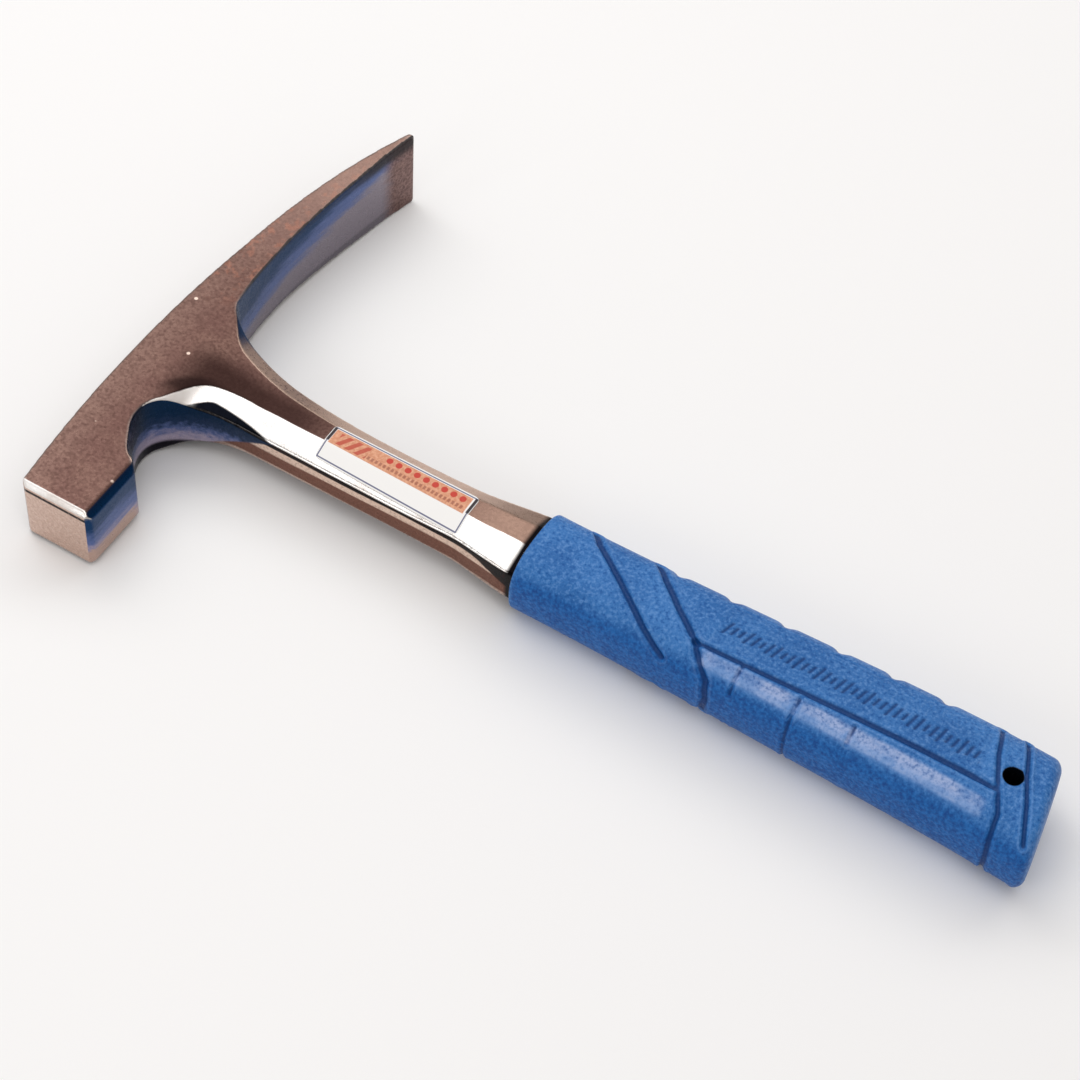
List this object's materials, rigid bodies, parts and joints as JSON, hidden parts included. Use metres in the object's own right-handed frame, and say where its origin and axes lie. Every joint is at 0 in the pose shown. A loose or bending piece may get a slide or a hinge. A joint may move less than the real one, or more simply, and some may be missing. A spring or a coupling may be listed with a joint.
{
  "type": "brick hammer",
  "caption": "All-steel bricklayer's hammer: square bevelled striking face, flared chisel blade, eight-sided shank with a label, and a moulded grip with a hang hole.",
  "frame": {"origin": "middle of the bounding box's underside; the hammer lies on its cheek", "axes": "+X along the handle towards the butt, +Y along the head towards the chisel blade, +Z out of the upper cheek"},
  "size_m": [0.293, 0.1714, 0.029],
  "materials": {
    "forged_steel": "ground and clear-lacquered forged steel",
    "grip_vinyl": "moulded blue vinyl, semi-gloss",
    "label_paper": "printed gloss film"
  },
  "bodies": {
    "root": {"forged_hammer": "forged_steel", "handle_grip": "grip_vinyl", "shank_label": "label_paper"}
  },
  "joints": []
}
